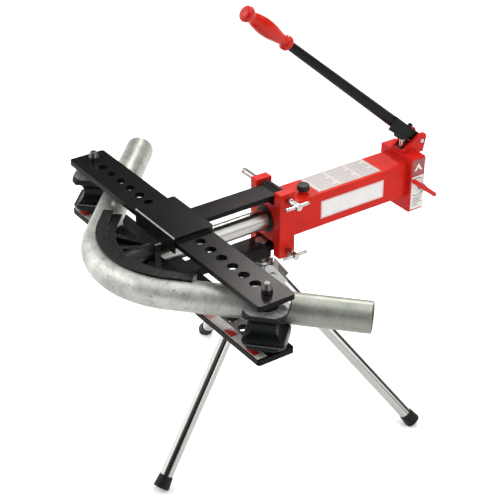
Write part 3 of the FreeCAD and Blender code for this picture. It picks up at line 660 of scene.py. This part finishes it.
BLACK_WELD, RED_WELD = MATERIALS["black_plate"], MATERIALS["red_cast"]
SIDES = ((-1, "l"), (1, "r"))
for label, sign, body in (("upper", 1, "upper_frame"), ("lower", -1, "machine")):
    z = 63 * sign
    bead("weld_%s_back" % label, [at(-69, 40.4, z), at(-26, 40.4, z)], 0.0016, BLACK_WELD, body)
    bead("weld_%s_back2" % label, [at(26, 40.4, z), at(69, 40.4, z)], 0.0016, BLACK_WELD, body)
    for side, letter in SIDES:
        x = 25.2 * side
        bead("weld_%s_stem_%s" % (label, letter), [at(x, 41, 52.6 * sign), at(x, 41, 62.4 * sign)], 0.0016,
             BLACK_WELD, body)
        x = 70.2 * side
        bead("weld_%s_head_%s" % (label, letter),
             [at(x, -38.5, z + 0.5 * sign), at(x, 38.5, z + 0.5 * sign)], 0.0013, BLACK_WELD, body)
HOUSING_ENDS = (("yoke", 253.9), ("block", 555.6))
for side, letter in SIDES:
    x = 37.9 * side
    for label, y in HOUSING_ENDS:
        bead("weld_%s_%s" % (label, letter), [at(x, y, -37), at(x, y, 37)], 0.0019, RED_WELD, "machine")
for label, y in HOUSING_ENDS:
    bead("weld_%s_top" % label, [at(-36, y, 38.9), at(36, y, 38.9)], 0.0019, RED_WELD, "machine")
for side, letter in SIDES:
    x = 20.9 * side
    bead("weld_ear_%s" % letter, [at(x, 561, 53.3), at(x, 593, 53.3)], 0.0015, RED_WELD, "machine")

# ---------------------------------------------------------------- studio
floor_mesh = bmesh.new()
bmesh.ops.create_grid(floor_mesh, x_segments=2, y_segments=2, size=14)
floor_data = bpy.data.meshes.new("studio_floor")
floor_mesh.to_mesh(floor_data)
floor_mesh.free()
floor = bpy.data.objects.new("studio_floor", floor_data)
bpy.context.scene.collection.objects.link(floor)
floor.location = (0, 0, -0.0006)
floor_mat, floor_tree, floor_shader = material("floor_white", (0.9, 0.9, 0.9), 0.7)
tint = ramp(floor_tree, noise(floor_tree, 1.5, 3), [(0.3, grey(0.885)), (0.7, grey(0.905))])
floor_tree.links.new(tint, floor_shader.inputs["Base Color"])
floor_shader.inputs["Emission Color"].default_value = (1, 1, 1, 1)
floor_shader.inputs["Emission Strength"].default_value = 0.2
floor_data.materials.append(floor_mat)

world = bpy.data.worlds.new("studio")
bpy.context.scene.world = world
world.use_nodes = True
sky = world.node_tree
background = sky.nodes["Background"]
direction = sky.nodes.new("ShaderNodeTexCoord")
split = sky.nodes.new("ShaderNodeSeparateXYZ")
sky.links.new(direction.outputs["Generated"], split.inputs["Vector"])
height = ramp(sky, split.outputs["Z"], [
    (0.0, grey(0.75)), (0.06, grey(0.50)), (0.18, grey(0.06)), (0.52, grey(0.02)), (0.74, grey(0.30)),
    (1.0, grey(0.8))])


def lobe(base, way, inner, outer, level):
    """Add a soft bright patch of studio wall around a direction."""
    dot = sky.nodes.new("ShaderNodeVectorMath")
    dot.operation = "DOT_PRODUCT"
    sky.links.new(direction.outputs["Generated"], dot.inputs[0])
    dot.inputs[1].default_value = Vector(way).normalized()
    fade = sky.nodes.new("ShaderNodeMapRange")
    fade.interpolation_type = "SMOOTHSTEP"
    sky.links.new(dot.outputs["Value"], fade.inputs["Value"])
    fade.inputs["From Min"].default_value = math.cos(math.radians(outer))
    fade.inputs["From Max"].default_value = math.cos(math.radians(inner))
    fade.inputs["To Max"].default_value = level
    total = sky.nodes.new("ShaderNodeVectorMath")
    total.operation = "ADD"
    sky.links.new(base, total.inputs[0])
    sky.links.new(fade.outputs["Result"], total.inputs[1])
    return total.outputs["Vector"]


walls = lobe(height, (-0.70, -0.63, 0.34), 26, 48, 2.0)
walls = lobe(walls, (0.79, 0.37, 0.50), 14, 26, 2.2)
walls = lobe(walls, (0.13, 0.80, 0.59), 8, 20, 2.0)
sky.links.new(walls, background.inputs["Color"])
background.inputs["Strength"].default_value = 1.0


def softbox(name, place, target, size, power, colour=(1, 1, 1)):
    """Rectangular area light aimed at a point."""
    data = bpy.data.lights.new(name, "AREA")
    data.shape = "RECTANGLE"
    data.size, data.size_y = size
    data.energy = power
    data.color = colour
    obj = bpy.data.objects.new(name, data)
    bpy.context.scene.collection.objects.link(obj)
    obj.location = place
    obj.rotation_mode = "QUATERNION"
    obj.rotation_quaternion = (Vector(target) - Vector(place)).to_track_quat("-Z", "Y")


softbox("key_left", (-1.7, -2.3, 2.7), (0, 0, 0.45), (1.8, 1.4), 24)
softbox("top", (0.3, 0.5, 3.2), (0, 0, 0.4), (2.6, 2.6), 50)
softbox("back_sheen", (-1.66, 1.54, 2.53), (0.3, -0.2, 0.5), (0.7, 0.7), 41, (1.0, 0.94, 0.91))
softbox("fill_right", (3.0, 0.2, 1.3), (0, 0.1, 0.45), (1.2, 1.8), 16)

# ---------------------------------------------------------------- camera
AZIMUTH, ELEVATION, ROLL = (math.radians(a) for a in (54.89, 30.94, 0.26))
target = at(85.05, 119.51, 0)
back = Vector((math.sin(AZIMUTH) * math.cos(ELEVATION), -math.cos(AZIMUTH) * math.cos(ELEVATION),
               math.sin(ELEVATION)))
right = Vector((math.cos(AZIMUTH), math.sin(AZIMUTH), 0))
up = back.cross(right)
right, up = right * math.cos(ROLL) + up * math.sin(ROLL), up * math.cos(ROLL) - right * math.sin(ROLL)
lens = bpy.data.cameras.new("camera")
lens.sensor_width = 36
lens.lens = 103.16
lens.clip_start, lens.clip_end = 0.1, 60
camera = bpy.data.objects.new("camera", lens)
bpy.context.scene.collection.objects.link(camera)
place = target + back * 2.78056
camera.matrix_world = Matrix((
    (right.x, up.x, back.x, place.x), (right.y, up.y, back.y, place.y),
    (right.z, up.z, back.z, place.z), (0, 0, 0, 1)))
bpy.context.scene.camera = camera
bpy.context.scene.view_settings.view_transform = "Standard"
bpy.context.scene.view_settings.look = "None"
